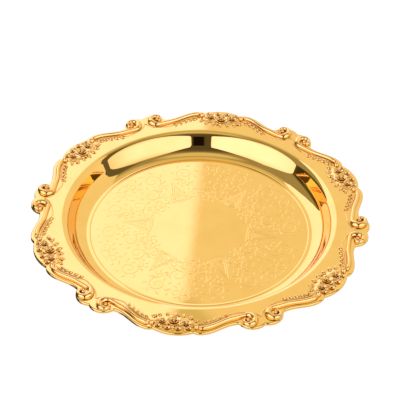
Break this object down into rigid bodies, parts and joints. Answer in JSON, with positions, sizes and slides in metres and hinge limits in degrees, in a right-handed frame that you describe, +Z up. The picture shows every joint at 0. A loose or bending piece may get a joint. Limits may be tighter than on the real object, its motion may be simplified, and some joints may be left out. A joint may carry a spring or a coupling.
{
  "type": "serving tray",
  "caption": "Round shallow serving tray in polished brass with a scalloped flange and a border of scrolls, flower sprays and leaf trails.",
  "frame": {"origin": "centre of the underside of the floor, on the plane the tray rests on", "axes": "+Z up; +X through the middle of one flower spray; +Y through the middle of one scroll pair"},
  "size_m": [0.3, 0.2968, 0.0234],
  "materials": {
    "brass_sheet": "polished, with fine engraving on the floor",
    "brass_border": "bright polished"
  },
  "bodies": {
    "root": {"pan": "brass_sheet", "scroll_left_1": "brass_border", "scroll_left_2": "brass_border", "scroll_left_3": "brass_border", "scroll_left_4": "brass_border", "scroll_left_5": "brass_border", "scroll_left_6": "brass_border", "scroll_right_1": "brass_border", "scroll_right_2": "brass_border", "scroll_right_3": "brass_border", "scroll_right_4": "brass_border", "scroll_right_5": "brass_border", "scroll_right_6": "brass_border", "flower_spray_1": "brass_border", "flower_spray_2": "brass_border", "flower_spray_3": "brass_border", "flower_spray_4": "brass_border", "flower_spray_5": "brass_border", "flower_spray_6": "brass_border", "leaf_trail_left_1": "brass_border", "leaf_trail_left_2": "brass_border", "leaf_trail_left_3": "brass_border", "leaf_trail_left_4": "brass_border", "leaf_trail_left_5": "brass_border", "leaf_trail_left_6": "brass_border", "leaf_trail_right_1": "brass_border", "leaf_trail_right_2": "brass_border", "leaf_trail_right_3": "brass_border", "leaf_trail_right_4": "brass_border", "leaf_trail_right_5": "brass_border", "leaf_trail_right_6": "brass_border", "lip_wire_1": "brass_border", "lip_wire_2": "brass_border", "lip_wire_3": "brass_border", "lip_wire_4": "brass_border", "lip_wire_5": "brass_border", "lip_wire_6": "brass_border"}
  },
  "joints": []
}
